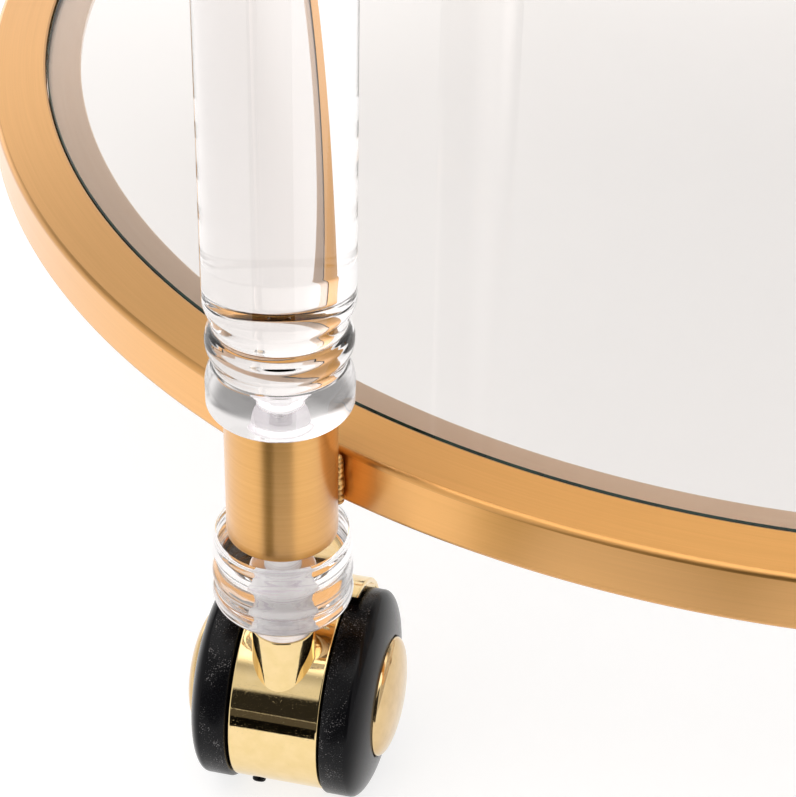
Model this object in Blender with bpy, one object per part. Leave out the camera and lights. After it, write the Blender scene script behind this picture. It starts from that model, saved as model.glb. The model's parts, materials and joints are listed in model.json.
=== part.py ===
"""Round two-tier bar cart on three twin-wheel casters.

World frame: metres, +Z up, origin on the floor under the centre of the rings. Post A, the front one, is on -Y.
"""
from math import cos, pi, radians, sin, sqrt

import bmesh
import bpy
from mathutils import Matrix

MM = 0.001
GAP = 0.3 * MM                       # clearance between pieces that touch

# Rings and shelves
RING_RADIUS = 301.4 * MM             # outer radius of each ring
RING_WIDTH = 18.7 * MM               # radial width of the square tube
RING_HEIGHT = 18.0 * MM
RING_WALL = 1.6 * MM
RING_CORNER = 1.6 * MM
RING_STEPS = 48
VENT_RADIUS = 2.0 * MM
LEDGE_WIDTH = 11.3 * MM
LEDGE_THICKNESS = 3.0 * MM
GLASS_THICKNESS = 5.0 * MM
GLASS_CHAMFER = 0.6 * MM
LOWER_TOP = 124.7 * MM               # height of the lower ring's top
UPPER_TOP = 714.7 * MM               # height of the upper ring's top

# Posts, turned from 40 mm acrylic rod; the first one stands on -Y
POST_NAMES = ("a", "b", "c")
POST_ORBIT = 314.8 * MM              # distance from the cart's axis to each post's axis
ROD_RADIUS = 20.0 * MM
DRUM_RADIUS = 19.8 * MM
BEAD_RADIUS = 19.6 * MM
POST_END = (                         # from the rod down to the drum: radius, height over the end face
    (20.0, 32.8), (19.5, 31.4), (18.8, 29.4), (17.9, 26.2), (18.65, 24.0), (19.37, 22.3), (19.6, 20.6),
    (19.37, 18.9), (18.65, 17.2), (17.7, 14.2), (18.6, 12.0), (19.3, 10.2), (19.8, 8.2),
)
FOOT_BEADS = (                       # a rim and three beads: radius, depth under the top face
    (18.2, 0.0), (18.7, 0.7), (18.2, 1.8), (19.0, 3.4), (19.4, 5.4), (19.0, 7.4), (17.8, 9.8), (19.0, 12.0),
    (19.5, 13.8), (19.1, 15.8), (18.6, 17.2), (19.1, 18.6), (19.6, 20.3),
)
TURNED_STEPS = 16
BORE_RADIUS = 5.2 * MM               # drilled holes for the studs
BORE_DEPTH = 4.8 * MM                # of the blind holes in posts and finials
BORE_MOUTH = 0.4 * MM                # countersink at the mouth of a blind hole
DRILL_CONE = 0.4 * MM
FOOT_LENGTH = 25.0 * MM
DOME_HEIGHT = 7.0 * MM

# Sleeves, measured from the top of their ring
SLEEVE_RADIUS = 15.3 * MM
SLEEVE_BORE = 12.0 * MM
SLEEVE_ABOVE = 19.4 * MM
SLEEVE_BELOW = 23.8 * MM
SLEEVE_WEB = 3.0 * MM                # thickness of the disc inside each sleeve
WELD_RADIUS = 2.0 * MM
WELD_LENGTH = 15.0 * MM
STUD_RADIUS = 4.7 * MM
STUD_CHAMFER = 1.0 * MM
STUD_REACH = 12.0 * MM               # how far a stud goes down into a foot
STUD_GRIP = 4.5 * MM                 # how far a stud goes into a blind hole

# Casters, measured from the floor and from the middle plane between the wheels
CASTER_HEADING = radians(24.5)       # direction in which the wheels trail, turned from +Y towards -X
TRAIL = 15.1 * MM                    # from the swivel axis to the axle
WHEEL_RADIUS = 30.7 * MM             # to the middle of the tread's flats
WHEEL_INNER = 13.8 * MM              # inner face of each wheel
TREAD_END = 21.2 * MM                # where the flat tread ends and the shoulder starts
SHOULDER_WIDTH = 6.0 * MM
SHOULDER_DROP = 20.6 * MM
WHEEL_BORE_END = 22.2 * MM
WHEEL_STEPS = 24
HOOD_RADIUS = 29.8 * MM
HOOD_HALF_WIDTH = 13.3 * MM
HOOD_BOTTOM = 4.0 * MM
HOOD_STEPS = 30
EDGE = 0.5 * MM                      # small chamfer on the cast and turned metal
BOSS_RADIUS = 9.1 * MM
BOSS_TOP = 66.4 * MM
PIN_RADIUS = 4.0 * MM
PIN_DEPTH = 22.0 * MM
COLLAR_RADIUS = 9.3 * MM
STEM_REACH = 9.0 * MM                # how far the stem goes up into the foot
LIP_OUTER = 33.6 * MM
LIP_INNER = 32.0 * MM
LIP_HALF_WIDTH = 17.0 * MM
LIP_MIDDLE = radians(50)             # the lip's direction from the axle, from the heading up towards +Z
LIP_CHORD = 27.5 * MM
POCKET_SIZE = (20.0 * MM, 22.0 * MM, 36.0 * MM)
AXLE_RADIUS = 3.0 * MM
AXLE_HALF_LENGTH = 21.5 * MM
CAP_RADIUS = 17.7 * MM
CAP_SEAT = 25.2 * MM                 # floor of the recess that holds the hub cap
CAP_RIM = 1.4 * MM
CAP_DOME = 4.4 * MM
PLUG_RADIUS = 2.0 * MM
PLUG_SIDE = -7.4 * MM                # the plug's place along the axle
PLUG_ANGLE = radians(36)             # the plug's direction from the axle, from straight down towards the front
PLUG_INNER = 26.4 * MM
PLUG_OUTER = 31.4 * MM


def clear_scene():
    for obj in list(bpy.data.objects):
        bpy.data.objects.remove(obj, do_unlink=True)


def material(name, colour, roughness, metallic=0.0, transmission=0.0):
    mat = bpy.data.materials.new(name)
    mat.use_nodes = True
    shader = mat.node_tree.nodes["Principled BSDF"]
    shader.inputs["Base Color"].default_value = (*colour, 1.0)
    shader.inputs["Roughness"].default_value = roughness
    shader.inputs["Metallic"].default_value = metallic
    shader.inputs["Transmission Weight"].default_value = transmission
    mat.diffuse_color = (*colour, 1.0)
    return mat


def make_materials():
    return {
        "brushed_gold": material("Brushed gold", (0.72, 0.42, 0.17), 0.35, metallic=1.0),
        "polished_gold": material("Polished gold", (0.88, 0.62, 0.22), 0.08, metallic=1.0),
        "acrylic": material("Clear acrylic", (1.0, 1.0, 1.0), 0.02, transmission=1.0),
        "glass": material("Clear glass", (0.95, 1.0, 0.98), 0.01, transmission=1.0),
        "steel": material("Zinc plated steel", (0.62, 0.62, 0.63), 0.3, metallic=1.0),
        "collar": material("Pale plated steel", (0.86, 0.78, 0.74), 0.25, metallic=1.0),
        "black": material("Black plastic", (0.012, 0.012, 0.014), 0.25),
    }


def link(name, mesh, mat=None):
    obj = bpy.data.objects.new(name, mesh)
    bpy.context.collection.objects.link(obj)
    if mat:
        mesh.materials.append(mat)
    return obj


def frame(name, location, turn=0.0, parent=None):
    """An empty that carries pieces, turned about Z."""
    obj = link(name, None)
    obj.location = location
    obj.rotation_euler = (0.0, 0.0, turn)
    obj.parent = parent
    return obj


def lathe(name, profile, steps, mat=None, closed=False):
    """Turn a profile of (radius, height) points about Z; its outer side runs from top to bottom."""
    edges = [(i, i + 1) for i in range(len(profile) - 1)]
    if closed:
        edges.append((len(profile) - 1, 0))
    mesh = bpy.data.meshes.new(name)
    mesh.from_pydata([(radius, 0.0, height) for radius, height in profile], edges, [])
    obj = link(name, mesh, mat)
    screw = obj.modifiers.new("Turn", "SCREW")
    screw.steps = steps
    screw.render_steps = steps
    screw.use_merge_vertices = True
    screw.merge_threshold = 0.00001
    screw.use_smooth_shade = True
    return obj


def rod(name, radius, low, high, steps):
    """A plain solid cylinder along Z."""
    return lathe(name, [(0, high), (radius, high), (radius, low), (0, low)], steps)


def box(name, size, centre):
    mesh = bpy.data.meshes.new(name)
    shape = bmesh.new()
    bmesh.ops.create_cube(shape, size=1.0, matrix=Matrix.Diagonal((*size, 1.0)))
    shape.to_mesh(mesh)
    shape.free()
    obj = link(name, mesh)
    obj.location = centre
    return obj


def combine(obj, tool, operation):
    tool.hide_render = True
    tool.display_type = "WIRE"
    step = obj.modifiers.new(operation.title(), "BOOLEAN")
    step.operation = operation
    step.solver = "EXACT"
    step.object = tool


def arc(centre, radii, start, end, count):
    """Points on an ellipse arc from one angle to another, in degrees; pairs are (radius, height)."""
    points = []
    for i in range(count + 1):
        angle = radians(start + (end - start) * i / count)
        points.append((centre[0] + radii[0] * cos(angle), centre[1] + radii[1] * sin(angle)))
    return points


# Tiers

def make_ring(tier, top, mat):
    """Hollow square tube bent to a circle, with a vent hole behind sleeve A."""
    outer, inner = RING_RADIUS, RING_RADIUS - RING_WIDTH
    bottom = top - RING_HEIGHT
    c = RING_CORNER
    outline = [
        (outer - c, top), (outer, top - c), (outer, bottom + c), (outer - c, bottom),
        (inner + c, bottom), (inner, bottom + c), (inner, top - c), (inner + c, top),
    ]
    ring = lathe(f"{tier}_ring", outline, RING_STEPS, mat, closed=True)
    w = RING_WALL
    hollow = [(outer - w, top - w), (outer - w, bottom + w), (inner + w, bottom + w), (inner + w, top - w)]
    combine(ring, lathe(f"{tier}_ring_hollow", hollow, RING_STEPS, closed=True), "DIFFERENCE")
    vent = rod(f"{tier}_ring_vent", VENT_RADIUS, -2 * w, 2 * w, 8)
    vent.location = (0, -outer, top - 0.5 * RING_HEIGHT)
    vent.rotation_euler = (0.5 * pi, 0, 0)
    combine(ring, vent, "DIFFERENCE")


def make_ledge(tier, top, mat):
    """Flat band inside the ring that carries the glass."""
    outer = RING_RADIUS - RING_WIDTH - GAP
    inner = outer - LEDGE_WIDTH
    high = top - GLASS_THICKNESS - GAP
    low = high - LEDGE_THICKNESS
    outline = [(outer, high), (outer, low), (inner, low), (inner, high)]
    lathe(f"{tier}_ledge", outline, RING_STEPS, mat, closed=True)


def make_glass(tier, top, mat):
    radius = RING_RADIUS - RING_WIDTH - GAP
    low = top - GLASS_THICKNESS
    c = GLASS_CHAMFER
    outline = [(0, top), (radius - c, top), (radius, top - c), (radius, low + c), (radius - c, low), (0, low)]
    lathe(f"{tier}_glass", outline, RING_STEPS, mat)


# Acrylic pieces

def drilled(face, direction):
    """Blind hole in an end face, from its mouth to the drill's cone; direction is +1 upwards, -1 downwards."""
    bottom = face + direction * BORE_DEPTH
    return [
        (BORE_RADIUS + BORE_MOUTH, face), (BORE_RADIUS, face + direction * BORE_MOUTH),
        (BORE_RADIUS, bottom), (0, bottom + direction * DRILL_CONE),
    ]


def millimetres(points, start=0.0, direction=1):
    """(radius, height) points given in millimetres from a start height, upwards or downwards."""
    return [(radius * MM, start + direction * height * MM) for radius, height in points]


def turned_end(face):
    """Lower end of a post, from the plain rod down to its end face: neck, bead, groove and drum."""
    corner = 1.8 * MM
    return [*millimetres(POST_END, face), *arc((DRUM_RADIUS - corner, face + corner), (corner, corner), 0, -90, 2)]


def make_post(name, bottom, top, mat):
    low_end = turned_end(bottom)
    high_end = [(radius, bottom + top - height) for radius, height in reversed(low_end)]
    outline = [*reversed(drilled(top, -1)), *high_end, *low_end, *drilled(bottom, 1)]
    return lathe(name, outline, TURNED_STEPS, mat)


def make_foot(name, top, mat):
    """A rim over three beads, drilled through for the stud and the caster's stem."""
    low = top - FOOT_LENGTH
    corner = 4.6 * MM
    outline = [
        (BORE_RADIUS, top),
        *millimetres(FOOT_BEADS, top, -1),
        *arc((BEAD_RADIUS - corner, low + corner), (corner, corner), 0, -90, 3),
        (BORE_RADIUS, low),
    ]
    return lathe(name, outline, TURNED_STEPS, mat, closed=True)


def make_finial(name, bottom, mat):
    """Three beads and a rim like the foot's, upside down, with a low dome on top and a hole from below."""
    drum_top = bottom + FOOT_LENGTH - 4.0 * MM
    outline = [
        *arc((0, drum_top), (BEAD_RADIUS, DOME_HEIGHT), 90, 0, 4),
        *millimetres(reversed(FOOT_BEADS), bottom),
        *drilled(bottom, 1),
    ]
    return lathe(name, outline, TURNED_STEPS, mat)


# Metal pieces of a post; its frame has +Y towards the cart's axis

def make_sleeve(name, ring_top, mat):
    """Tube with a disc inside that the stud is clamped to, a flat for the ring and two weld beads."""
    high = ring_top + SLEEVE_ABOVE - GAP
    low = ring_top - SLEEVE_BELOW + GAP
    web_high = 0.5 * (high + low + SLEEVE_WEB)
    web_low = web_high - SLEEVE_WEB
    hole = STUD_RADIUS + GAP
    outline = [
        (SLEEVE_RADIUS, high), (SLEEVE_RADIUS, low), (SLEEVE_BORE, low), (SLEEVE_BORE, web_low),
        (hole, web_low), (hole, web_high), (SLEEVE_BORE, web_high), (SLEEVE_BORE, high),
    ]
    sleeve = lathe(name, outline, TURNED_STEPS, mat, closed=True)
    flat = POST_ORBIT - RING_RADIUS - GAP
    ring_middle = ring_top - 0.5 * RING_HEIGHT
    saddle_size = (2 * SLEEVE_RADIUS, SLEEVE_RADIUS, RING_HEIGHT + 2 * GAP)
    saddle = box(f"{name}_saddle", saddle_size, (0, flat + 0.5 * SLEEVE_RADIUS, ring_middle))
    saddle.parent = sleeve
    combine(sleeve, saddle, "DIFFERENCE")
    weld_y = flat - WELD_RADIUS
    for side in (-1, 1):
        weld = rod(f"{name}_weld_{side}", WELD_RADIUS, -0.5 * WELD_LENGTH, 0.5 * WELD_LENGTH, 8)
        weld.location = (side * sqrt(SLEEVE_RADIUS ** 2 - weld_y ** 2), weld_y, ring_middle)
        weld.parent = sleeve
        combine(sleeve, weld, "UNION")
    return sleeve


def make_stud(name, low, high, mat):
    c = STUD_CHAMFER
    outline = [
        (0, high), (STUD_RADIUS - c, high), (STUD_RADIUS, high - c),
        (STUD_RADIUS, low + c), (STUD_RADIUS - c, low), (0, low),
    ]
    return lathe(name, outline, 12, mat)


def make_stem(name, foot_low, mat):
    """Turned collar between foot and caster, with a stem up into the foot and a pin down into the boss."""
    top = foot_low + STEM_REACH
    collar_high = foot_low - GAP
    collar_low = BOSS_TOP + GAP
    pin_low = BOSS_TOP - PIN_DEPTH + GAP
    outline = [
        (0, top), (STUD_RADIUS, top), (STUD_RADIUS, collar_high),
        (COLLAR_RADIUS - EDGE, collar_high), (COLLAR_RADIUS, collar_high - EDGE), (COLLAR_RADIUS, collar_low),
        (PIN_RADIUS, collar_low), (PIN_RADIUS, pin_low), (0, pin_low),
    ]
    return lathe(name, outline, 12, mat)


# Casters; their frame has +X along the axle and +Y along the trail, with Z = 0 on the floor

def lay_on_axle(obj, direction=1):
    """Turn a piece made along Z onto the axle, its outer end towards +X or -X."""
    obj.location = (0, TRAIL, WHEEL_RADIUS)
    obj.rotation_euler = (0, direction * 0.5 * pi, 0)
    return obj


def make_lip(name):
    """Rear fender: a T-shaped ring over the drum and the wheels, kept only where the lip is."""
    root = HOOD_RADIUS - 2 * MM
    w = HOOD_HALF_WIDTH - EDGE
    section = [
        (LIP_OUTER, LIP_HALF_WIDTH), (LIP_OUTER, -LIP_HALF_WIDTH), (LIP_INNER, -LIP_HALF_WIDTH),
        (LIP_INNER, -w), (root, -w), (root, w), (LIP_INNER, w), (LIP_INNER, LIP_HALF_WIDTH),
    ]
    lip = lay_on_axle(lathe(name, section, HOOD_STEPS, closed=True))
    reach = 20 * MM
    keep = box(f"{name}_keep", (3 * HOOD_RADIUS, reach, 3 * HOOD_RADIUS), (0, 0, 0))
    middle = LIP_CHORD + 0.5 * reach
    keep.location = (0, TRAIL + middle * cos(LIP_MIDDLE), WHEEL_RADIUS + middle * sin(LIP_MIDDLE))
    keep.rotation_euler = (LIP_MIDDLE, 0, 0)
    combine(lip, keep, "INTERSECT")
    return lip, keep


def plug_shape(name, radius, inner, outer, mat=None):
    """Short pin that points out of the hood's underside, towards the front."""
    profile = [(0, outer), (radius - EDGE, outer), (radius, outer - EDGE), (radius, inner), (0, inner)]
    plug = lathe(name, profile, 8, mat)
    plug.location = (PLUG_SIDE, TRAIL, WHEEL_RADIUS)
    plug.rotation_euler = (pi - PLUG_ANGLE, 0, 0)
    return plug


def make_caster_body(name, swivel, mat):
    """Upright boss on a drum between the wheels, with the rear lip and a pocket cast into the underside."""
    body = rod(name, BOSS_RADIUS, 0.5 * BOSS_TOP, BOSS_TOP, TURNED_STEPS)
    body.data.materials.append(mat)
    w = HOOD_HALF_WIDTH
    drum_profile = [
        (0, w), (HOOD_RADIUS - EDGE, w), (HOOD_RADIUS, w - EDGE),
        (HOOD_RADIUS, EDGE - w), (HOOD_RADIUS - EDGE, -w), (0, -w),
    ]
    drum = lay_on_axle(lathe(f"{name}_drum", drum_profile, HOOD_STEPS))
    lip, lip_keep = make_lip(f"{name}_lip")
    underside = box(f"{name}_underside", (4 * w, 4 * HOOD_RADIUS, 2 * HOOD_BOTTOM), (0, TRAIL, 0))
    pocket = box(f"{name}_pocket", POCKET_SIZE, (0, TRAIL, 0))
    bore = rod(f"{name}_bore", PIN_RADIUS + GAP, BOSS_TOP - PIN_DEPTH, BOSS_TOP + MM, 12)
    axle_hole = lay_on_axle(rod(f"{name}_axle_hole", AXLE_RADIUS + GAP, -2 * w, 2 * w, 12))
    plug_hole = plug_shape(f"{name}_plug_hole", PLUG_RADIUS + GAP, PLUG_INNER - GAP, PLUG_OUTER)
    combine(body, drum, "UNION")
    combine(body, lip, "UNION")
    for cut in (underside, pocket, bore, axle_hole, plug_hole):
        combine(body, cut, "DIFFERENCE")
    for piece in (body, drum, lip, lip_keep, underside, pocket, bore, axle_hole, plug_hole):
        piece.parent = swivel
    return body


def make_wheel(name, direction, mat):
    """Flat tread, rounded shoulder, a recess for the hub cap and a blind bore for the axle.

    The tread's polygon is drawn around the wheel's circle and stands on one of its flats.
    """
    half_step = pi / WHEEL_STEPS
    corner_radius = WHEEL_RADIUS / cos(half_step)
    recess = CAP_RADIUS + GAP
    shoulder = arc((corner_radius - SHOULDER_DROP, TREAD_END), (SHOULDER_DROP, SHOULDER_WIDTH), 67, 0, 4)
    bore = AXLE_RADIUS + GAP
    outline = [
        (0, CAP_SEAT), (recess, CAP_SEAT), *shoulder, (corner_radius, WHEEL_INNER + EDGE),
        (corner_radius - EDGE, WHEEL_INNER), (bore, WHEEL_INNER), (bore, WHEEL_BORE_END), (0, WHEEL_BORE_END),
    ]
    wheel = lathe(name, outline, WHEEL_STEPS, mat)
    wheel.data.transform(Matrix.Rotation(half_step, 4, "Z"))
    return lay_on_axle(wheel, direction)


def make_cap(name, direction, mat):
    """Domed disc that sits in the wheel's recess."""
    seat = CAP_SEAT + GAP
    outline = [
        *arc((0, seat + CAP_RIM), (CAP_RADIUS, CAP_DOME), 90, 0, 3), (CAP_RADIUS, seat), (0, seat),
    ]
    return lay_on_axle(lathe(name, outline, TURNED_STEPS, mat), direction)


def make_axle(name, mat):
    half = AXLE_HALF_LENGTH
    outline = [(0, half), (AXLE_RADIUS, half), (AXLE_RADIUS, -half), (0, -half)]
    return lay_on_axle(lathe(name, outline, 12, mat))


def build_tier(tier, top, mats):
    make_ring(tier, top, mats["brushed_gold"])
    make_ledge(tier, top, mats["brushed_gold"])
    make_glass(tier, top, mats["glass"])


def build_post(key, angle, mats):
    place = (POST_ORBIT * cos(angle), POST_ORBIT * sin(angle), 0)
    stand = frame(f"{key}_stand", place, angle + 0.5 * pi)
    foot_top = LOWER_TOP - SLEEVE_BELOW
    foot_low = foot_top - FOOT_LENGTH
    post_low = LOWER_TOP + SLEEVE_ABOVE
    post_high = UPPER_TOP - SLEEVE_BELOW
    finial_low = UPPER_TOP + SLEEVE_ABOVE
    pieces = [
        make_stem(f"{key}_caster_stem", foot_low, mats["collar"]),
        make_foot(f"{key}_foot", foot_top, mats["acrylic"]),
        make_sleeve(f"{key}_lower_sleeve", LOWER_TOP, mats["brushed_gold"]),
        make_stud(f"{key}_lower_stud", foot_top - STUD_REACH, post_low + STUD_GRIP, mats["steel"]),
        make_post(f"{key}_post", post_low, post_high, mats["acrylic"]),
        make_sleeve(f"{key}_upper_sleeve", UPPER_TOP, mats["brushed_gold"]),
        make_stud(f"{key}_upper_stud", post_high - STUD_GRIP, finial_low + STUD_GRIP, mats["steel"]),
        make_finial(f"{key}_finial", finial_low, mats["acrylic"]),
    ]
    for piece in pieces:
        piece.parent = stand


def build_caster(key, angle, mats):
    place = (POST_ORBIT * cos(angle), POST_ORBIT * sin(angle), 0)
    swivel = frame(f"{key}_swivel", place, CASTER_HEADING)
    make_caster_body(f"{key}_caster_body", swivel, mats["polished_gold"])
    pieces = [
        make_axle(f"{key}_axle", mats["steel"]),
        plug_shape(f"{key}_hood_plug", PLUG_RADIUS, PLUG_INNER, PLUG_OUTER, mats["black"]),
    ]
    for side, direction in (("left", -1), ("right", 1)):
        pieces.append(make_wheel(f"{key}_wheel_{side}", direction, mats["black"]))
        pieces.append(make_cap(f"{key}_cap_{side}", direction, mats["polished_gold"]))
    for piece in pieces:
        piece.parent = swivel


def main():
    clear_scene()
    mats = make_materials()
    build_tier("lower", LOWER_TOP, mats)
    build_tier("upper", UPPER_TOP, mats)
    for index, key in enumerate(POST_NAMES):
        angle = -0.5 * pi + index * 2 * pi / len(POST_NAMES)
        build_post(key, angle, mats)
        build_caster(key, angle, mats)


main()
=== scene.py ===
"""Looks of the round two-tier bar cart: smooth turned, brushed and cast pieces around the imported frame."""
import json
from math import cos, pi, radians, sin, sqrt, tan

import bmesh
import bpy
import numpy as np
from mathutils import Matrix, Vector


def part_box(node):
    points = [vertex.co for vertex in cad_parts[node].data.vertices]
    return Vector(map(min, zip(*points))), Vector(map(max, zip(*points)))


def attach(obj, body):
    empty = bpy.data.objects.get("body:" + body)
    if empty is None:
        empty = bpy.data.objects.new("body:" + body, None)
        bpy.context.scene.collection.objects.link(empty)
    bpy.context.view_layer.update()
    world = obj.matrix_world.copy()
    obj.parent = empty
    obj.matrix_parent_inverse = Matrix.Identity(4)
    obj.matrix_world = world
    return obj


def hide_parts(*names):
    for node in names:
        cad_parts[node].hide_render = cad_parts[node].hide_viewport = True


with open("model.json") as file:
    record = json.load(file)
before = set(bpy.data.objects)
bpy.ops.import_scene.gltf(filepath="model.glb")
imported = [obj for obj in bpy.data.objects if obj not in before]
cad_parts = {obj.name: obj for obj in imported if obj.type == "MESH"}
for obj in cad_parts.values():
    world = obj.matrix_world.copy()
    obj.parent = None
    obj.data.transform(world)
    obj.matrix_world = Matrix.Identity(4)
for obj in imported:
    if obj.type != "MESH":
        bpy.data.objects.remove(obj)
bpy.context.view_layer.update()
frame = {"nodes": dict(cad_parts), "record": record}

MM = 0.001
BODY_OF = {node: body for body, nodes in frame["record"]["behaviour"]["bodies"].items() for node in nodes}
NO_TURN = Matrix.Identity(4)

# Camera, solved from the photograph's ring and post edges
CAMERA_PLACE = Vector((0.3395, -0.7125, 0.5285))
CAMERA_HEADING = radians(127.1)
CAMERA_PITCH = radians(-36.27)
CAMERA_ROLL = radians(1.18)
CAMERA_LENS = 111.26

# Heights and radii that the frame gives
LOWER_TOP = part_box("lower_ring")[1].z
UPPER_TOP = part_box("upper_ring")[1].z
RING_RADIUS = 301.4 * MM
RING_WIDTH = 18.7 * MM
RING_HEIGHT = LOWER_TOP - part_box("lower_ring")[0].z
POST_ORBIT = -0.5 * (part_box("a_post")[0].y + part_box("a_post")[1].y)
CASTER_HEADING = radians(24.5)
AXLE_HEIGHT = 30.7 * MM
TRAIL = 15.1 * MM


# Profiles

GUARD_STRIP = 0.08 * MM              # keeps the shading of a flat face flat up to its rounded corners


def arc(centre, radii, start, end, count):
    """Points on an ellipse arc from one angle to another, in degrees; pairs are (radius, height)."""
    angles = np.radians(np.linspace(start, end, count + 1))
    return [(centre[0] + radii[0] * cos(a), centre[1] + radii[1] * sin(a)) for a in angles]


def rounded(corners, closed=False, steps=5):
    """A profile from (radius, height, rounding) corners, each a true arc with a flat strip on either side."""
    points = []
    count = len(corners)
    for i, (x, y, r) in enumerate(corners):
        here = np.array((x, y))
        if r == 0 or (not closed and i in (0, count - 1)):
            points.append((x, y))
            continue
        before = np.array(corners[i - 1][:2]) - here
        after = np.array(corners[(i + 1) % count][:2]) - here
        before /= np.linalg.norm(before)
        after /= np.linalg.norm(after)
        half = 0.5 * np.arccos(np.clip(before @ after, -1, 1))
        middle = here + (before + after) / np.linalg.norm(before + after) * r / sin(half)
        start, end = here + before * r / tan(half), here + after * r / tan(half)
        turn = pi - 2 * half
        points.append(tuple(start + before * GUARD_STRIP))
        for k in range(steps + 1):
            share = k / steps
            a, b = sin((1 - share) * turn) / sin(turn), sin(share * turn) / sin(turn)
            points.append(tuple(middle + a * (start - middle) + b * (end - middle)))
        points.append(tuple(end + after * GUARD_STRIP))
    return points


def flowing(points, per=5):
    """A smooth curve through (radius, height) points in millimetres, as metres."""
    p = np.array([points[0], *points, points[-1]], float) * MM
    curve = []
    for a, b, c, d in zip(p, p[1:], p[2:], p[3:]):
        for t in np.arange(per) / per:
            curve.append(0.5 * (2 * b + (c - a) * t + (2 * a - 5 * b + 4 * c - d) * t * t
                                + (3 * b - a - 3 * c + d) * t ** 3))
    return [tuple(q) for q in curve] + [tuple(p[-1])]


# Meshes

def lathe_mesh(name, profile, steps, closed=False, warp=None, paint=None):
    """Turns a profile of (radius, height) about Z; its outer side runs from top to bottom."""
    profile = np.array(profile, float)
    angles = np.arange(steps) * 2 * pi / steps
    radius = np.repeat(profile[:, :1], steps, 1)
    height = np.repeat(profile[:, 1:], steps, 1)
    around = np.repeat(angles[None, :], len(profile), 0)
    if warp:
        radius, height = warp(radius, height, around)
    grid = np.stack((radius * np.cos(around), radius * np.sin(around), height), -1)
    verts, index = [], np.zeros((len(profile), steps), int)
    for i in range(len(profile)):
        if profile[i, 0] == 0:
            index[i] = len(verts)
            verts.append((0.0, 0.0, float(height[i, 0])))
        else:
            index[i] = range(len(verts), len(verts) + steps)
            verts.extend(map(tuple, grid[i]))
    faces, places = [], []
    rows = len(profile) if closed else len(profile) - 1
    for i in range(rows):
        a, b = index[i], index[(i + 1) % len(profile)]
        for j in range(steps):
            k = (j + 1) % steps
            corners = (a[j], b[j], b[k], a[k])
            faces.append(tuple(int(v) for n, v in enumerate(corners) if v != corners[n - 1]))
            places.append(0.5 * (profile[i] + profile[(i + 1) % len(profile)]))
    mesh = bpy.data.meshes.new(name)
    mesh.from_pydata(verts, [], faces)
    if paint:
        mesh.polygons.foreach_set("material_index", [paint(r, z) for r, z in places])
    return mesh


def smooth(mesh, sharp):
    """Smooth shading with creases at edges sharper than an angle in degrees."""
    mesh.shade_smooth()
    mesh.set_sharp_from_angle(angle=radians(sharp))


def settle(name, mesh, place, node):
    """Links a mesh as an object with an upright frame that rides on a CAD node's body."""
    mesh.transform(place.to_3x3().to_4x4())
    obj = bpy.data.objects.new(name, mesh)
    bpy.context.scene.collection.objects.link(obj)
    obj.matrix_world = Matrix.Translation(place.translation)
    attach(obj, BODY_OF[node])


def piece(name, mesh, materials, place, node, sharp=30):
    """A finished mesh as an object that stands for a CAD node and rides on its body."""
    for mat in materials:
        mesh.materials.append(mat)
    smooth(mesh, sharp)
    settle(name, mesh, place, node)
    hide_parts(node)


def solid(name, mesh, place=NO_TURN):
    """A loose object for the booleans, which carved() removes."""
    obj = bpy.data.objects.new(name, mesh)
    bpy.context.scene.collection.objects.link(obj)
    obj.matrix_world = place
    return obj


def carved(name, start, steps):
    """The mesh of start after joining or cutting it with (object, operation) pairs; the tools are removed."""
    for tool, operation in steps:
        cut = start.modifiers.new(operation, "BOOLEAN")
        cut.operation = operation
        cut.solver = "EXACT"
        cut.object = tool
    bpy.context.view_layer.update()
    result = bpy.data.meshes.new_from_object(start.evaluated_get(bpy.context.evaluated_depsgraph_get()))
    result.name = name
    for obj in [start] + [tool for tool, _ in steps]:
        bpy.data.objects.remove(obj)
    return result


def block_mesh(name, size):
    """A box around the origin."""
    mesh = bpy.data.meshes.new(name)
    shape = bmesh.new()
    bmesh.ops.create_cube(shape, size=1.0, matrix=Matrix.Diagonal((*size, 1.0)))
    shape.to_mesh(mesh)
    shape.free()
    return mesh


# Materials

ACRYLIC_IOR = 1.49
GLASS_IOR = 1.52


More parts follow.
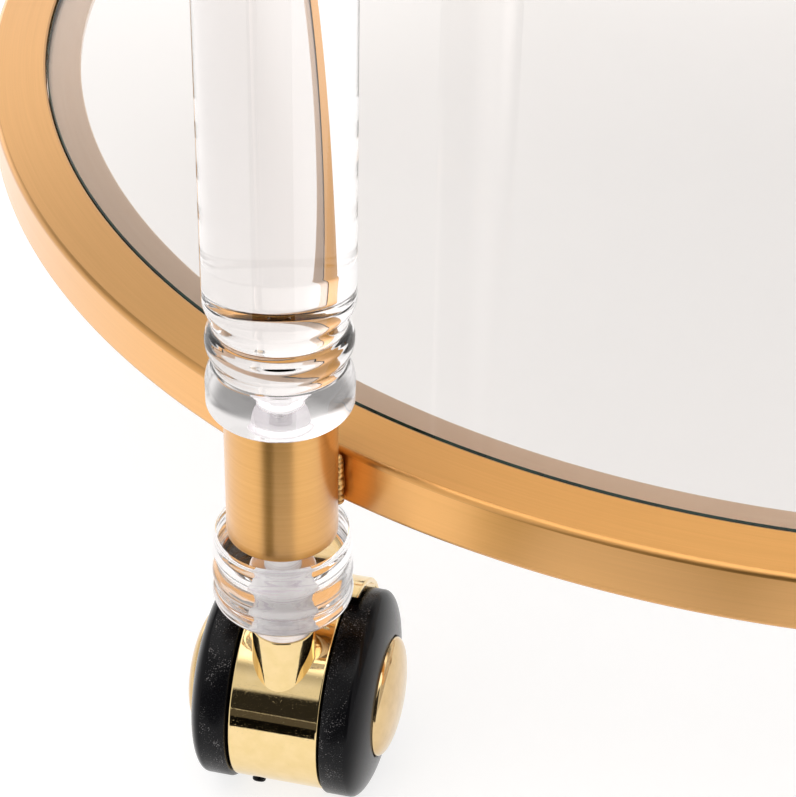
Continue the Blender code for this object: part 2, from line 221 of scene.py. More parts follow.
class Surface:
    """A Principled material and the few nodes that its pattern needs."""

    def __init__(self, name, **values):
        self.material = bpy.data.materials.new(name)
        self.material.use_nodes = True
        self.tree = self.material.node_tree
        self.shader = self.tree.nodes["Principled BSDF"]
        for key, value in values.items():
            self.shader.inputs[key.replace("_", " ").title().replace("Ior", "IOR")].default_value = value

    def node(self, kind, **settings):
        made = self.tree.nodes.new(kind)
        for key, value in settings.items():
            setattr(made, key, value)
        return made

    def link(self, source, target):
        self.tree.links.new(source, target)

    def to(self, socket, source):
        self.link(source, self.shader.inputs[socket])

    def fill(self, sockets, values):
        """Sets each socket to a number or links it to another node's output."""
        for socket, value in zip(sockets, values):
            if isinstance(value, (int, float)):
                socket.default_value = value
            else:
                self.link(value, socket)

    def math(self, operation, *values):
        made = self.node("ShaderNodeMath", operation=operation)
        self.fill(made.inputs, values)
        return made.outputs[0]

    def place(self):
        """The point on the piece, in the piece's own frame, as the vector and as (x, y, z) sockets."""
        coords = self.node("ShaderNodeTexCoord").outputs["Object"]
        split = self.node("ShaderNodeSeparateXYZ")
        self.link(coords, split.inputs[0])
        return coords, split.outputs

    def vector(self, x, y, z):
        made = self.node("ShaderNodeCombineXYZ")
        self.fill(made.inputs, (x, y, z))
        return made.outputs[0]

    def noise(self, vector, scale, detail=2.0, roughness=0.5):
        made = self.node("ShaderNodeTexNoise")
        self.link(vector, made.inputs["Vector"])
        made.inputs["Scale"].default_value = scale
        made.inputs["Detail"].default_value = detail
        made.inputs["Roughness"].default_value = roughness
        return made.outputs["Fac"]

    def lanes(self, place, across, along, detail, roughness=0.5):
        """Noise with across features per metre in X and Y, and along features per metre in Z."""
        x, y, z = place
        stretched = self.vector(self.math("MULTIPLY", x, across), self.math("MULTIPLY", y, across),
                                self.math("MULTIPLY", z, along))
        return self.noise(stretched, 1.0, detail, roughness)

    def spread(self, value, low, high, new_low, new_high):
        """Brings a number from one range to another."""
        made = self.node("ShaderNodeMapRange")
        self.link(value, made.inputs["Value"])
        for name, number in zip(("From Min", "From Max", "To Min", "To Max"), (low, high, new_low, new_high)):
            made.inputs[name].default_value = number
        return made.outputs[0]

    def mix(self, share, a, b):
        """From colour a at 0 to colour b at 1; inputs 6 and 7 and output 2 are the colour sockets."""
        made = self.node("ShaderNodeMix", data_type="RGBA")
        self.link(share, made.inputs["Factor"])
        for i, colour in ((6, a), (7, b)):
            made.inputs[i].default_value = (*colour, 1.0)
        return made.outputs[2]

    def bump(self, height, strength, distance, under=None):
        made = self.node("ShaderNodeBump")
        made.inputs["Strength"].default_value = strength
        made.inputs["Distance"].default_value = distance
        self.link(height, made.inputs["Height"])
        if under:
            self.link(under, made.inputs["Normal"])
        return made.outputs[0]


def brushed_gold(name, light, dark, along, across, roughness=0.33):
    """Lacquered satin metal brushed round the piece's own Z axis; along and across are features per metre."""
    s = Surface(name, metallic=1.0, anisotropic=0.8, anisotropic_rotation=0.25,
                coat_weight=1.0, coat_roughness=0.22)
    coords, (x, y, z) = s.place()
    radius = s.math("SQRT", s.math("ADD", s.math("MULTIPLY", x, x), s.math("MULTIPLY", y, y)))
    brushed = x, y, s.math("ADD", radius, z)
    grain = s.lanes(brushed, along, across, 3.0, 0.6)
    streak = s.lanes(brushed, along * 0.35, across * 0.3, 2.0)
    cloud = s.noise(coords, 14.0, 2.0)
    tone = s.math("ADD", s.math("MULTIPLY", grain, 0.5), s.math("MULTIPLY", streak, 0.5))
    tone = s.math("ADD", s.math("MULTIPLY", tone, 0.75), s.math("MULTIPLY", cloud, 0.25))
    s.to("Base Color", s.mix(s.spread(tone, 0.36, 0.64, 0.0, 1.0), dark, light))
    s.to("Roughness", s.spread(grain, 0.3, 0.7, roughness, roughness + 0.09))
    s.to("Normal", s.bump(grain, 0.08, 0.05 * MM, s.bump(streak, 0.03, 0.1 * MM)))
    s.to("Tangent", s.node("ShaderNodeTangent", direction_type="RADIAL", axis="Z").outputs[0])
    return s.material


def polished_gold(name, light, dark, roughness, ripple):
    """Plated casting: mirror-like, with a slight ripple and a few pits."""
    s = Surface(name, metallic=1.0)
    coords, _ = s.place()
    wave = s.noise(coords, 260.0, 2.0)
    pits = s.noise(coords, 2600.0, 1.0)
    s.to("Base Color", s.mix(s.spread(wave, 0.35, 0.65, 0.0, 1.0), dark, light))
    s.to("Roughness", s.spread(pits, 0.6, 0.8, roughness, roughness + 0.25))
    s.to("Normal", s.bump(pits, 0.03, 0.05 * MM, s.bump(wave, ripple, 0.3 * MM)))
    return s.material


def clear_plastic(name):
    """Polished acrylic with hardly any turning marks left."""
    s = Surface(name, base_color=(0.995, 0.975, 0.972, 1.0), transmission_weight=1.0, ior=ACRYLIC_IOR)
    _, (x, y, z) = s.place()
    turned = s.noise(s.vector(s.math("MULTIPLY", x, 0.2), s.math("MULTIPLY", y, 0.2), z), 900.0, 1.0)
    s.to("Roughness", s.spread(turned, 0.4, 0.8, 0.0, 0.03))
    s.to("Normal", s.bump(turned, 0.015, 0.05 * MM))
    return s.material


def frosted_plastic(name, dark, glow):
    """White plastic with tool marks round its Z axis; the glow stands for light led in by the acrylic."""
    s = Surface(name, transmission_weight=0.25, ior=ACRYLIC_IOR, emission_color=(1.0, 0.96, 0.98, 1.0),
                emission_strength=glow)
    lanes = s.lanes(s.place()[1], 40.0, 1100.0, 3.0)
    s.to("Base Color", s.mix(s.spread(lanes, 0.38, 0.48, 0.0, 1.0), dark, (1.0, 1.0, 1.0)))
    s.to("Roughness", s.spread(lanes, 0.3, 0.7, 0.30, 0.65))
    s.to("Normal", s.bump(lanes, 0.6, 0.2 * MM))
    return s.material


def sheet_glass(name):
    """Clear sheet glass, darkened a little by its faces, with faint smears."""
    s = Surface(name, base_color=(0.925, 0.900, 0.882, 1.0), transmission_weight=1.0, ior=GLASS_IOR)
    coords, _ = s.place()
    s.to("Roughness", s.spread(s.noise(coords, 30.0, 3.0), 0.5, 0.8, 0.0, 0.015))
    return s.material


def glass_edge(name):
    """The polished rim of the glass, where its green shows."""
    s = Surface(name, ior=GLASS_IOR)
    coords, _ = s.place()
    shade = s.noise(coords, 120.0, 2.0)
    tint = s.mix(s.spread(shade, 0.3, 0.7, 0.0, 1.0), (0.002, 0.014, 0.009), (0.008, 0.045, 0.030))
    s.to("Base Color", tint)
    s.to("Roughness", s.spread(shade, 0.3, 0.7, 0.2, 0.4))
    return s.material


def plated_metal(name, light, dark, roughness):
    """Plain turned metal with faint tool marks round its Z axis."""
    s = Surface(name, metallic=1.0)
    lanes = s.lanes(s.place()[1], 30.0, 3000.0, 2.0)
    s.to("Base Color", s.mix(s.spread(lanes, 0.3, 0.7, 0.0, 1.0), dark, light))
    s.to("Roughness", s.spread(lanes, 0.3, 0.7, roughness, roughness + 0.12))
    s.to("Normal", s.bump(lanes, 0.15, 0.05 * MM))
    return s.material


def black_plastic(name, roughness, specks):
    """Glossy black moulding; on the treads pale specks lie in loose clusters."""
    s = Surface(name, ior=1.24)
    coords, _ = s.place()
    fine = s.noise(coords, 2400.0, 2.0, 0.6)
    cluster = s.noise(coords, 170.0, 2.0)
    mask = s.math("ADD", fine, s.math("MULTIPLY", s.math("SUBTRACT", cluster, 0.5), 0.5))
    mask = s.spread(mask, 0.64, 0.72, 0.0, specks)
    s.to("Base Color", s.mix(mask, (0.004, 0.004, 0.005), (0.22, 0.21, 0.21)))
    s.to("Roughness", s.spread(fine, 0.3, 0.7, roughness, roughness + 0.12))
    s.to("Normal", s.bump(fine, 0.12 + 0.3 * specks, 0.04 * MM))
    return s.material


MATS = {
    "ring": brushed_gold("Brushed gold ring", (0.96, 0.50, 0.145), (0.89, 0.45, 0.12), 40.0, 4200.0),
    # The corner gold is darker than the ring's as painted shade: a dark reflection line along the ring's
    # rounded outer corners.
    "corner": brushed_gold("Gold corner darkened as painted shade", (0.76, 0.38, 0.10), (0.70, 0.34, 0.085), 40.0, 4200.0, 0.29),
    # Painted light: the ledge gold is lightened well above the ring's to make up for the light that it loses
    # under the glass.
    "ledge": brushed_gold("Brushed gold ledge lightened as painted light", (1.0, 0.77, 0.58), (0.95, 0.70, 0.50), 40.0, 3000.0),
    "sleeve": brushed_gold("Brushed gold sleeve", (0.86, 0.46, 0.125), (0.76, 0.38, 0.09), 60.0, 5200.0),
    "weld": polished_gold("Heat tinted weld", (0.85, 0.52, 0.20), (0.40, 0.20, 0.07), 0.25, 0.4),
    "cast": polished_gold("Polished gold casting", (0.88, 0.67, 0.345), (0.85, 0.64, 0.31), 0.045, 0.015),
    "cap": polished_gold("Gold hub cap", (0.74, 0.54, 0.285), (0.69, 0.49, 0.25), 0.12, 0.01),
    "acrylic": clear_plastic("Clear acrylic"),
    "frost": frosted_plastic("Frosted bore", (0.66, 0.60, 0.68), 0.12),
    "washer": frosted_plastic("White washer", (0.90, 0.88, 0.90), 0.28),
    "glass": sheet_glass("Clear glass"),
    "edge": glass_edge("Dark glass edge"),
    "steel": plated_metal("Zinc plated steel", (0.90, 0.89, 0.90), (0.74, 0.73, 0.74), 0.18),
    "collar": plated_metal("Pale plated collar", (0.88, 0.80, 0.76), (0.80, 0.71, 0.66), 0.25),
    "tread": black_plastic("Speckled black tread", 0.20, 0.8),
    "moulding": black_plastic("Black moulding", 0.14, 0.0),
}


# Tiers

RING_STEPS = 320
LEDGE_WIDTH = 11.3 * MM
GLASS_CHAMFER = 0.5 * MM


def make_ring(tier, top):
    """The square tube, with a tighter rounding beside the glass and its corners in their own material: a
    slightly smoother brush and a darker gold that is painted shade.
    """
    outer, inner = RING_RADIUS, RING_RADIUS - RING_WIDTH
    low = top - RING_HEIGHT
    r = 1.7 * MM
    corners = [(outer, top, r), (outer, low, r), (inner, low, r), (inner, top, 0.8 * MM)]

    def on_corner(radius, height):
        return int(min(outer - radius, radius - inner) < r and min(top - height, height - low) < r)

    # The corners that on_corner marks get the darker gold, which is painted shade.
    mesh = lathe_mesh(f"{tier}_ring", rounded(corners, closed=True), RING_STEPS, closed=True, paint=on_corner)
    piece(f"{tier}_ring_tube", mesh, [MATS["ring"], MATS["corner"]], NO_TURN, f"{tier}_ring")


def make_ledge(tier):
    low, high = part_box(f"{tier}_ledge")
    outer, inner = high.x, high.x - LEDGE_WIDTH
    r = 0.4 * MM
    corners = [(outer, high.z, r), (outer, low.z, r), (inner, low.z, r), (inner, high.z, r)]
    mesh = lathe_mesh(f"{tier}_ledge", rounded(corners, closed=True, steps=3), RING_STEPS, closed=True)
    # The ledge's pale gold is lightened as painted light.
    piece(f"{tier}_ledge_band", mesh, [MATS["ledge"]], NO_TURN, f"{tier}_ledge")


def make_glass(tier):
    low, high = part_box(f"{tier}_glass")
    edge, c = high.x, GLASS_CHAMFER
    flat = edge - 4 * MM
    profile = [
        (0, high.z), (flat, high.z), (edge - c, high.z), (edge, high.z - c),
        (edge, low.z + c), (edge - c, low.z), (flat, low.z), (0, low.z),
    ]
    mesh = lathe_mesh(f"{tier}_glass", profile, RING_STEPS, paint=lambda r, z: int(r > edge - 0.8 * c))
    piece(f"{tier}_glass_disc", mesh, [MATS["glass"], MATS["edge"]], NO_TURN, f"{tier}_glass")


# Acrylic pieces

TURNED_STEPS = 128
BORE = 5.2 * MM                      # drilled through the foot
FOOT_RADIUS = 19.6                   # at the lowest bead, in millimetres
DRUM_RADIUS = 19.8                   # at the ends of the posts, in millimetres
FINIAL_SIDE = 21.0 * MM
FINIAL_DOME = 7.0 * MM
POST_END = (                         # from the rod down to the drum: radius, height over the end face
    (20.0, 34.2), (19.97, 32.9), (19.5, 31.2), (18.8, 29.2), (18.1, 27.2), (17.85, 26.2), (18.05, 25.2),
    (18.65, 24.0), (19.37, 22.3), (19.6, 20.6), (19.37, 18.9), (18.65, 17.2), (17.95, 15.4), (17.7, 14.3),
    (17.85, 13.3), (18.6, 12.0), (19.3, 10.3), (19.7, 8.6), (19.8, 7.0), (19.8, 4.0),
)
FOOT_BEADS = (                       # a rim and three beads: radius, depth under the top face
    (18.62, 0.5), (18.7, 0.9), (18.45, 1.5), (18.2, 2.0), (18.5, 2.6), (19.0, 3.5), (19.4, 5.4), (19.0, 7.3),
    (18.3, 8.8), (17.9, 9.8), (18.2, 10.7), (19.0, 12.1), (19.5, 13.8), (19.1, 15.8), (18.75, 16.8),
    (18.6, 17.4), (18.8, 18.0), (19.3, 19.0), (19.6, 20.4),
)


def end_corner(radius, rounding, face):
    """From a drum's side round its lower corner onto the end face; sizes in millimetres, face in metres."""
    return arc(((radius - rounding) * MM, face + rounding * MM), (rounding * MM, rounding * MM), 0, -90, 8)


def turned_end(face):
    """Lower end of a post from the rod down: neck, bead, groove and drum."""
    return [(x, face + z) for x, z in flowing(POST_END)] + end_corner(DRUM_RADIUS, 1.8, face)


def make_post(key, place):
    """Clear rod, turned at both ends; clear cement fills its drilled holes, so that they don't show."""
    low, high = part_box(f"{key}_post")
    low_end = turned_end(low.z)
    high_end = [(r, low.z + high.z - z) for r, z in reversed(low_end)]
    mesh = lathe_mesh(f"{key}_post", [(0, high.z), *high_end, *low_end, (0, low.z)], TURNED_STEPS)
    piece(f"{key}_post_rod", mesh, [MATS["acrylic"]], place, f"{key}_post")


def foot_side(face, way):
    """The rim and beads of a foot from its top face down (-1), or of a finial from its lower face up (1)."""
    return [(18.1 * MM, face)] + [(x, face + way * z) for x, z in flowing(FOOT_BEADS)]


def make_foot(key, place):
    low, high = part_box(f"{key}_foot")
    inset = 8.0 * MM
    outside = [(inset, high.z), *foot_side(high.z, -1), *end_corner(FOOT_RADIUS, 4.6, low.z), (inset, low.z)]
    bore = [(BORE, z) for z in np.linspace(low.z, high.z, 26)]
    mesh = lathe_mesh(f"{key}_foot", outside + bore, TURNED_STEPS, closed=True,
                      paint=lambda r, z: int(r < BORE + MM))
    piece(f"{key}_foot_turned", mesh, [MATS["acrylic"], MATS["frost"]], place, f"{key}_foot")


def make_finial(key, place):
    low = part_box(f"{key}_finial")[0].z
    dome = arc((0, low + FINIAL_SIDE), (FOOT_RADIUS * MM, FINIAL_DOME), 90, 0, 20)
    dome[0] = (0, dome[0][1])
    side = list(reversed(foot_side(low, 1)))
    mesh = lathe_mesh(f"{key}_finial", [*dome, *side, (0, low)], TURNED_STEPS)
    piece(f"{key}_finial_turned", mesh, [MATS["acrylic"]], place, f"{key}_finial")


# Metal pieces of a post

SLEEVE_RADIUS = 15.3 * MM
SLEEVE_BORE = 12.0 * MM
WEB_HALF = 1.5 * MM                  # the web inside the sleeve that the stud passes through
WEB_HOLE = 5.0 * MM
WELD_RADIUS = 1.75 * MM
WELD_DROPS = 9.0                     # along one bead
WELD_DRAWS = 12                      # random sizes and leans, at least one for each drop
WELD_SEEDS = {-1: 11, 1: 23}         # for the left and the right bead
STUD_RADIUS = 4.7 * MM
THREAD_PITCH = 1.5 * MM
PIN_RADIUS = 1.8 * MM
WASHERS = ((5.1 * MM, 1.2 * MM), (4.7 * MM, 2.7 * MM))   # radius, depth under the rod's end in the CAD
WASHER_THICKNESS = 0.3 * MM
PLAY = 0.3 * MM                      # above and below the collar, and round the plug
COLLAR_RADIUS = 9.3 * MM


def make_sleeve(key, level, ring_top, place):
    """A short tube with a web inside and a flat where it touches the ring, and its two welds."""
    node = f"{key}_{level}_sleeve"
    low, high = (corner.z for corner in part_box(node))
    outer, inner, hole = SLEEVE_RADIUS, SLEEVE_BORE, WEB_HOLE
    web = 0.5 * (high + low)
    ring_low = ring_top - RING_HEIGHT
    step, e = 0.3 * MM, 0.01 * MM
    flat = POST_ORBIT - RING_RADIUS - step
    corners = [
        (outer, high, 0.5 * MM), (outer, ring_top + step + e, 0), (outer, ring_top + step, 0),
        (outer, ring_low - step, 0), (outer, ring_low - step - e, 0), (outer, low, 0.5 * MM),
        (inner, low, 0.4 * MM), (inner, web - WEB_HALF, 0), (hole, web - WEB_HALF, 0),
        (hole, web + WEB_HALF, 0), (inner, web + WEB_HALF, 0), (inner, high, 0.4 * MM),
    ]

    def saddle(radius, height, around):
        """Leaves a flat on the side of the ring, where sleeve and ring meet."""
        beside = (height < ring_top + step + 0.5 * e) & (height > ring_low - step - 0.5 * e)
        deep = radius * np.sin(around) > flat
        cut = np.where(beside & deep, flat / np.maximum(np.sin(around), 0.01), radius)
        return cut, height

    mesh = lathe_mesh(node, rounded(corners, closed=True, steps=4), TURNED_STEPS, closed=True, warp=saddle)
    piece(f"{node}_tube", mesh, [MATS["sleeve"]], place, node)
    for side in (-1, 1):
        make_weld(f"{node}_weld_{'left' if side < 0 else 'right'}", side, flat, ring_top, place, node)


def make_weld(name, side, flat, ring_top, place, node):
    """A lumpy bead in the corner between sleeve and ring, laid in small overlapping drops."""
    half = 0.5 * RING_HEIGHT - 0.6 * MM
    heights = np.linspace(half, -half, 73)
    draw = np.random.default_rng(WELD_SEEDS[side])
    swell = draw.uniform(0.82, 1.18, WELD_DRAWS)
    lean = draw.uniform(-0.35, 0.35, (WELD_DRAWS, 2))
    draws = np.arange(WELD_DRAWS)
    profile = [(0, half)] + [(1.0, z) for z in heights[1:-1]] + [(0, -half)]

    def drops(radius, height, around):
        share = (half - height) / (2 * half)
        drop = share * WELD_DROPS
        size = np.interp(drop, draws, swell)
        bulge = 0.78 + 0.22 * np.sqrt(np.abs(np.sin(drop * pi)))
        ends = np.sqrt(np.clip(1 - (2 * share - 1) ** 10, 0, 1))
        wander = (np.cos(around) * np.interp(drop, draws, lean[:, 0])
                  + np.sin(around) * np.interp(drop, draws, lean[:, 1]))
        return np.where(radius > 0, WELD_RADIUS * size * bulge * ends * (1 + 0.5 * wander), 0), height

    mesh = lathe_mesh(name, profile, 24, warp=drops)
    y = flat - 1.7 * MM
    spot = Matrix.Translation((side * sqrt(SLEEVE_RADIUS ** 2 - y * y), y, ring_top - 0.5 * RING_HEIGHT))
    mesh.materials.append(MATS["weld"])
    smooth(mesh, 60)
    settle(name, mesh, place @ spot, node)


def stud_mesh(name, low, high, plain_low, plain_high, spool_low):
    """Steel rod; an end cemented in acrylic is a thin pin with two washers, the other has a rolled thread."""
    pin, radius = PIN_RADIUS, STUD_RADIUS
    upper = [(0, high - WASHERS[0][1])]
    for wide, depth in WASHERS:
        z = high - depth
        upper += [(pin, z), (wide, z), (wide, z - WASHER_THICKNESS), (pin, z - WASHER_THICKNESS)]
    upper += [(pin, plain_high)]
    if spool_low:
        lower = [(x, low + high - z) for x, z in reversed(upper)]
        lower[0] = (pin, plain_low)
    else:
        fine = THREAD_PITCH / 8
        heights = np.arange(plain_low - fine, low + 1.0 * MM, -fine)
        lower = [(radius, z) for z in heights] + [(radius - MM, low), (0, low)]
    profile = [*upper, (radius, plain_high), (radius, plain_low), *lower]

    def cut(r, z, around):
        thread = (z < plain_low - THREAD_PITCH / 8) & (r > radius - 0.1 * MM) & (not spool_low)
        phase = (z / THREAD_PITCH - around / (2 * pi)) % 1.0
        return np.where(thread, r - 0.5 * THREAD_PITCH * (1 - np.abs(2 * phase - 1)), r), z

    def washer(r, z):
        return int(r > 3.0 * MM and (z > plain_high + MM or (spool_low and z < plain_low - MM)))

    return lathe_mesh(name, profile, 48, warp=cut, paint=washer)


def make_stud(key, level, place):
    node = f"{key}_{level}_stud"
    low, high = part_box(node)
    sleeve_low, sleeve_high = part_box(f"{key}_{level}_sleeve")
    mesh = stud_mesh(node, low.z, high.z, sleeve_low.z, sleeve_high.z, level == "upper")
    piece(f"{node}_rod", mesh, [MATS["steel"], MATS["washer"]], place, node)


def make_stem(key, place):
    node = f"{key}_caster_stem"
    low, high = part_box(node)
    collar_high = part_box(f"{key}_foot")[0].z - PLAY
    collar_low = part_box(f"{key}_caster_body")[1].z + PLAY
    stem, pin = STUD_RADIUS, 4.0 * MM
    corners = [
        (0, high.z, 0), (stem, high.z, 0.4 * MM), (stem, collar_high, 0),
        (COLLAR_RADIUS, collar_high, 0.8 * MM), (COLLAR_RADIUS, collar_low, 0.4 * MM),
        (pin, collar_low, 0), (pin, low.z, 0), (0, low.z, 0),
    ]
    mesh = lathe_mesh(node, rounded(corners, steps=4), 64)
    piece(f"{node}_turned", mesh, [MATS["collar"]], place, node)


# Casters; their frame has +X along the axle and +Y along the trail, with Z = 0 on the floor

BOSS_RADIUS = 9.1 * MM
DRUM_SIZE = 29.8 * MM, 13.3 * MM     # radius and half width of the casting between the wheels
LIP_INNER = 32.0 * MM
LIP_OUTER = 33.6 * MM
LIP_HALF = 17.0 * MM
LIP_ANGLE = radians(50)              # of the lip's middle, over the horizontal behind the axle
LIP_EDGE = 27.5 * MM                 # from the axle to the plane where the lip ends
PLUG_RADIUS = 2.0 * MM
PLUG_INNER = 26.4 * MM
PLUG_OUTER = 31.4 * MM
RECESS_RADIUS = 18.0 * MM            # in the wheel's outer face, for the cap
CAP_RADIUS = 17.7 * MM


def on_axle(way=1):
    """Lays a piece made along Z on the axle, its outer end towards +X or -X."""
    return Matrix.Translation((0, TRAIL, AXLE_HEIGHT)) @ Matrix.Rotation(way * 0.5 * pi, 4, "Y")


def rod_mesh(name, radius, low, high, steps=64):
    """A plain rod along Z, for drilling."""
    return lathe_mesh(name, [(0, high), (radius, high), (radius, low), (0, low)], steps)


def make_caster_body(key, swivel):
    """Boss, drum and rear lip in one casting, cut flat below, with its pocket and drilled holes."""
    node = f"{key}_caster_body"
    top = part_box(node)[1].z
    boss_corners = [(0, top, 0), (BOSS_RADIUS, top, 0.5 * MM), (BOSS_RADIUS, 0.5 * top, 0), (0, 0.5 * top, 0)]
    boss = solid("boss", lathe_mesh("boss", rounded(boss_corners), 160))
    r, w = DRUM_SIZE
    drum_corners = [(0, w, 0), (r, w, 0.7 * MM), (r, -w, 0.7 * MM), (0, -w, 0)]
    drum = solid("drum", lathe_mesh("drum", rounded(drum_corners), 240), on_axle())
    root, shelf = r - 2 * MM, w - 0.5 * MM
    lip_corners = [
        (LIP_OUTER, LIP_HALF, 0.6 * MM), (LIP_OUTER, -LIP_HALF, 0.6 * MM), (LIP_INNER, -LIP_HALF, 0.4 * MM),
        (LIP_INNER, -shelf, 0), (root, -shelf, 0), (root, shelf, 0), (LIP_INNER, shelf, 0),
        (LIP_INNER, LIP_HALF, 0.4 * MM),
    ]
    lip_mesh = lathe_mesh("lip", rounded(lip_corners, closed=True, steps=3), 240, closed=True)
    lip = solid("lip", lip_mesh, on_axle())
    slab = 20 * MM
    reach = LIP_EDGE + 0.5 * slab
    keep_place = Matrix.Translation((0, TRAIL + reach * cos(LIP_ANGLE), AXLE_HEIGHT + reach * sin(LIP_ANGLE)))
    keep = solid("keep", block_mesh("keep", (90 * MM, slab, 90 * MM)),
                 keep_place @ Matrix.Rotation(LIP_ANGLE, 4, "X"))
    lip = solid("lip", carved("lip", lip, [(keep, "INTERSECT")]))
    lip.data.transform(on_axle())
    under_axle = Matrix.Translation((0, TRAIL, 0))
    low_box = solid("underside", block_mesh("underside", (60 * MM, 120 * MM, 8 * MM)), under_axle)
    pocket = solid("pocket", block_mesh("pocket", (20 * MM, 22 * MM, 36 * MM)), under_axle)
    bore = solid("bore", rod_mesh("bore", 4.3 * MM, top - 22 * MM, top + MM))
    axle = solid("axle", rod_mesh("axle", 3.3 * MM, -2 * w, 2 * w), on_axle())
    plug_hole = rod_mesh("plug", PLUG_RADIUS + PLAY, PLUG_INNER - PLAY, PLUG_OUTER, 24)
    plug = solid("plug", plug_hole, plug_place())
    mesh = carved(node, boss, [
        (drum, "UNION"), (lip, "UNION"), (low_box, "DIFFERENCE"), (pocket, "DIFFERENCE"),
        (bore, "DIFFERENCE"), (axle, "DIFFERENCE"), (plug, "DIFFERENCE"),
    ])
    piece(f"{node}_cast", mesh, [MATS["cast"]], swivel, node, sharp=20)


def plug_place():
    """Lays the plug radially in the drum's lower front."""
    return Matrix.Translation((-7.4 * MM, TRAIL, AXLE_HEIGHT)) @ Matrix.Rotation(pi - radians(36), 4, "X")


def make_plug(key, swivel):
    node = f"{key}_hood_plug"
    corners = [(0, PLUG_OUTER, 0), (PLUG_RADIUS, PLUG_OUTER, 0.8 * MM), (PLUG_RADIUS, PLUG_INNER, 0),
               (0, PLUG_INNER, 0)]
    mesh = lathe_mesh(node, rounded(corners), 24)
    piece(f"{node}_nub", mesh, [MATS["moulding"]], swivel @ plug_place(), node)


def make_wheel(key, side, way, swivel):
    """A moulded wheel: a straight tread, a long rounded shoulder, and a recess for the cap."""
    node = f"{key}_wheel_{side}"
    radius, inner, tread_end = AXLE_HEIGHT, 13.8 * MM, 21.2 * MM
    recess, seat, bore, bore_end = RECESS_RADIUS, 25.2 * MM, 3.3 * MM, 22.2 * MM
    wide = 20.6 * MM
    shoulder = arc((radius - wide, tread_end), (wide, 6.0 * MM), 65.5, 0, 24)
    tread = [
        (radius, tread_end - 2.0 * MM), (radius, inner + 0.8 * MM),
        (radius - 0.25 * MM, inner + 0.25 * MM), (radius - 0.8 * MM, inner),
    ]
    profile = [
        (0, seat), (recess, seat), (recess, shoulder[0][1] - 0.3 * MM), (recess + 0.3 * MM, shoulder[0][1]),
        *shoulder[1:], *tread, (bore, inner), (bore, bore_end), (0, bore_end),
    ]
    mesh = lathe_mesh(node, profile, 160, paint=lambda r, z: int(r <= radius - 0.5 * MM or z >= tread_end))
    piece(f"{node}_moulded", mesh, [MATS["tread"], MATS["moulding"]], swivel @ on_axle(way), node)


def make_cap(key, side, way, swivel):
    node = f"{key}_cap_{side}"
    radius, seat = CAP_RADIUS, 25.5 * MM
    dome = arc((0, seat + 1.4 * MM), (radius, 4.4 * MM), 90, 4, 24)
    dome[0] = (0, dome[0][1])
    profile = [*dome, (radius, seat + 1.2 * MM), (radius, seat), (0, seat)]
    mesh = lathe_mesh(node, profile, TURNED_STEPS)
    piece(f"{node}_domed", mesh, [MATS["cap"]], swivel @ on_axle(way), node)


def make_post_pieces(key, angle):
    """One post from its caster to its finial; in its upright frame +Y points to the cart's middle."""
    place = Matrix.Translation((POST_ORBIT * cos(angle), POST_ORBIT * sin(angle), 0))
    stand = place @ Matrix.Rotation(angle + 0.5 * pi, 4, "Z")
    swivel = place @ Matrix.Rotation(CASTER_HEADING, 4, "Z")
    make_stem(key, stand)
    make_foot(key, stand)
    make_sleeve(key, "lower", LOWER_TOP, stand)
    make_stud(key, "lower", stand)
    make_post(key, stand)
    make_sleeve(key, "upper", UPPER_TOP, stand)
    make_stud(key, "upper", stand)
    make_finial(key, stand)
    make_caster_body(key, swivel)
    make_plug(key, swivel)
    for side, way in (("left", -1), ("right", 1)):
        make_wheel(key, side, way, swivel)
        make_cap(key, side, way, swivel)
    axle = frame["nodes"][f"{key}_axle"]
    axle.data.materials.clear()
    axle.data.materials.append(MATS["steel"])


for tier, top in (("lower", LOWER_TOP), ("upper", UPPER_TOP)):
    make_ring(tier, top)
    make_ledge(tier)
    make_glass(tier)
for number, key in enumerate("abc"):
    make_post_pieces(key, -0.5 * pi + number * 2 * pi / 3)


# Studio

FLOOR_FALLOFF = 0.75, 2.0, 0.78, 0.50         # from and to, in metres from the middle; glow near and far
FLAG_EDGES = 190 * MM, 260 * MM, 5.0          # near edge, end of the black part, far edge, from post A
FLAG_TONGUE = -76, 9, 105 * MM                # heading, half width in degrees and near edge of a nearer part
FLAG_SHADES = (("Black card", 0.004), ("Charcoal card", 0.09))
WALL_LIGHT = 0.85
PATCH_DIMMING = 0.56                          # taken from the walls in a grey patch high behind the cart
DOORWAY_DIMMING = 0.97                        # share of the light that the dark doorway takes away
LIGHTS = (                                    # heading, height, outer and inner radius in degrees, strength
    (0, 90, 42, 30, 1.5),                     # overhead
    (140, 14, 28, 12, 0.35),                  # behind the cart, low
    (162, 10, 24, 8, 0.9),
    (-76, 75, 40, 20, -0.4),                  # dimmer over the camera
    (25, 10, 45, 20, -0.25),                  # dimmer to the right
)


def make_camera():
    data = bpy.data.cameras.new("Camera")
    data.lens = CAMERA_LENS
    data.clip_start, data.clip_end = 0.01, 200
    camera = bpy.data.objects.new("Camera", data)
    bpy.context.scene.collection.objects.link(camera)
    ahead = Vector((cos(CAMERA_HEADING) * cos(CAMERA_PITCH), sin(CAMERA_HEADING) * cos(CAMERA_PITCH),
                    sin(CAMERA_PITCH)))
    side = Vector((sin(CAMERA_HEADING), -cos(CAMERA_HEADING), 0))
    upward = side.cross(ahead)
    x = side * cos(CAMERA_ROLL) + upward * sin(CAMERA_ROLL)
    y = upward * cos(CAMERA_ROLL) - side * sin(CAMERA_ROLL)
    turn = Matrix((x, y, -ahead)).transposed()
    camera.matrix_world = Matrix.Translation(CAMERA_PLACE) @ turn.to_4x4()
    bpy.context.scene.camera = camera


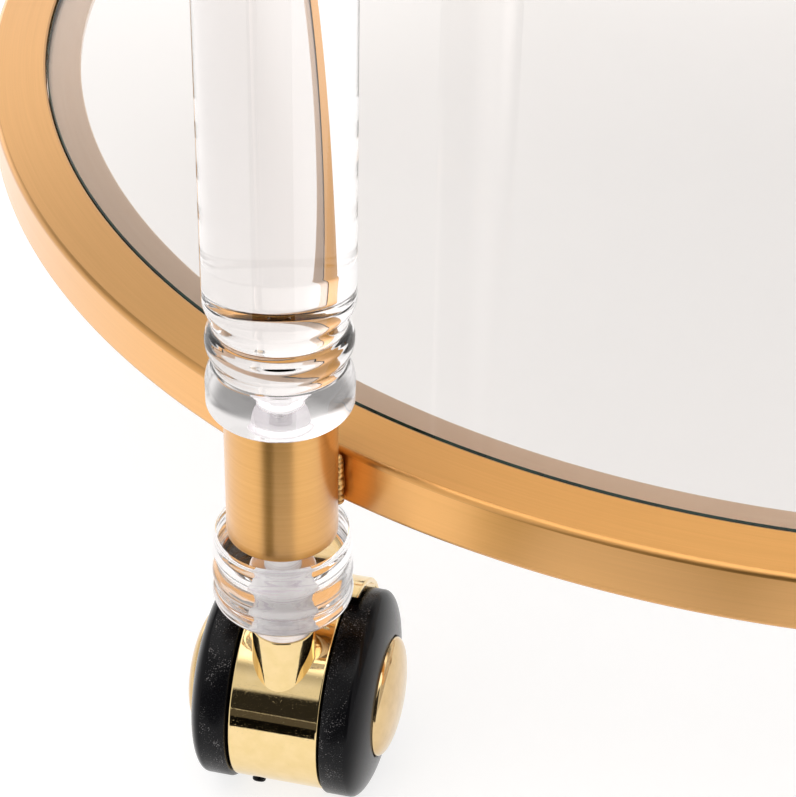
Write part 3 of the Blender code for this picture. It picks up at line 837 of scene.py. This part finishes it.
def make_floor():
    """White paper that falls off to a pale grey away from the cart, so that the clear posts stand out."""
    mesh = lathe_mesh("floor", [(40.0, 0.0), (4.0, 0.0), (0, 0.0)], 96)
    mesh.flip_normals()
    s = Surface("White floor", base_color=(0.35, 0.35, 0.35, 1.0), roughness=0.9,
                specular_ior_level=0.0, emission_color=(1.0, 1.0, 1.0, 1.0))
    coords, _ = s.place()
    far = s.node("ShaderNodeVectorMath", operation="LENGTH")
    s.link(coords, far.inputs[0])
    s.to("Emission Strength", s.spread(far.outputs["Value"], *FLOOR_FALLOFF))
    mesh.materials.append(s.material)
    floor = bpy.data.objects.new("floor", mesh)
    bpy.context.scene.collection.objects.link(floor)


def make_flag():
    """A dark card on the floor in front of the cart, seen only as a reflection in the metal."""
    start = Vector((0, -POST_ORBIT, 1.5 * MM))
    near_edge, *edges = FLAG_EDGES
    tongue_heading, tongue_half, tongue_edge = FLAG_TONGUE
    rims = [], [], []
    for heading in range(-88, -27, 2):
        near = tongue_edge if abs(heading - tongue_heading) < tongue_half else near_edge
        for rim, reach in zip(rims, (near, *edges)):
            rim.append(start + direction(heading, 0) * reach)
    count = len(rims[0])
    faces = [(i + k, i + k + count, i + k + count + 1, i + k + 1)
             for k in (0, count) for i in range(count - 1)]
    mesh = bpy.data.meshes.new("flag")
    mesh.from_pydata(sum(rims, []), [], faces)
    mesh.polygons.foreach_set("material_index", [int(i >= count - 1) for i in range(len(faces))])
    for name, shade in FLAG_SHADES:
        card = Surface(name, base_color=(0, 0, 0, 1.0), roughness=0.8, specular_ior_level=0.0,
                       emission_color=(1.0, 0.95, 0.9, 1.0), emission_strength=shade)
        mesh.materials.append(card.material)
    flag = bpy.data.objects.new("flag", mesh)
    bpy.context.scene.collection.objects.link(flag)
    for kind in ("camera", "diffuse", "transmission", "shadow", "volume_scatter"):
        setattr(flag, f"visible_{kind}", False)


def direction(heading, height):
    """A unit vector from a heading and a height above the horizon, in degrees."""
    a, e = radians(heading), radians(height)
    return Vector((cos(a) * cos(e), sin(a) * cos(e), sin(e)))


def make_world():
    """A pale room lit from overhead, with a grey patch high behind the cart and a dark doorway in front."""
    world = bpy.data.worlds.new("Studio")
    bpy.context.scene.world = world
    world.use_nodes = True
    tree = world.node_tree
    back = tree.nodes["Background"]
    coords = tree.nodes.new("ShaderNodeTexCoord")

    def ramp(towards, start, end, high=1.0):
        """A number that goes smoothly from 0 to high as the dot product with a direction grows."""
        dot = tree.nodes.new("ShaderNodeVectorMath")
        dot.operation = "DOT_PRODUCT"
        dot.inputs[1].default_value = towards
        tree.links.new(coords.outputs["Generated"], dot.inputs[0])
        level = tree.nodes.new("ShaderNodeMapRange")
        level.interpolation_type = "SMOOTHSTEP"
        for name, number in (("From Min", start), ("From Max", end), ("To Min", 0.0), ("To Max", high)):
            level.inputs[name].default_value = number
        tree.links.new(dot.outputs["Value"], level.inputs["Value"])
        return level.outputs[0]

    def join(operation, a, b):
        made = tree.nodes.new("ShaderNodeMath")
        made.operation = operation
        for socket, value in zip(made.inputs, (a, b)):
            if isinstance(value, float):
                socket.default_value = value
            else:
                tree.links.new(value, socket)
        return made.outputs[0]

    patch = join("MULTIPLY", ramp(direction(0, 90), sin(radians(25)), sin(radians(31))),
                 ramp(direction(135, 0), cos(radians(78)), cos(radians(58))))
    light = join("SUBTRACT", WALL_LIGHT, join("MULTIPLY", patch, PATCH_DIMMING))
    for heading, height, outer, inner, strength in LIGHTS:
        spot = ramp(direction(heading, height), cos(radians(outer)), cos(radians(inner)), strength)
        light = join("ADD", light, spot)
    slanted = direction(-50, 50).cross(direction(-76, 27)).normalized()
    doorway = join("MULTIPLY", ramp(direction(2, 0), -0.04, 0.04), ramp(direction(-118, 0), -0.04, 0.04))
    doorway = join("MULTIPLY", doorway, ramp(slanted, -0.025, 0.025))
    light = join("MULTIPLY", light, join("SUBTRACT", 1.0, join("MULTIPLY", doorway, DOORWAY_DIMMING)))
    tree.links.new(light, back.inputs["Strength"])
    back.inputs["Color"].default_value = (1.0, 0.985, 0.97, 1.0)


make_camera()
make_floor()
make_flag()
make_world()
bpy.context.scene.view_settings.view_transform = "Standard"
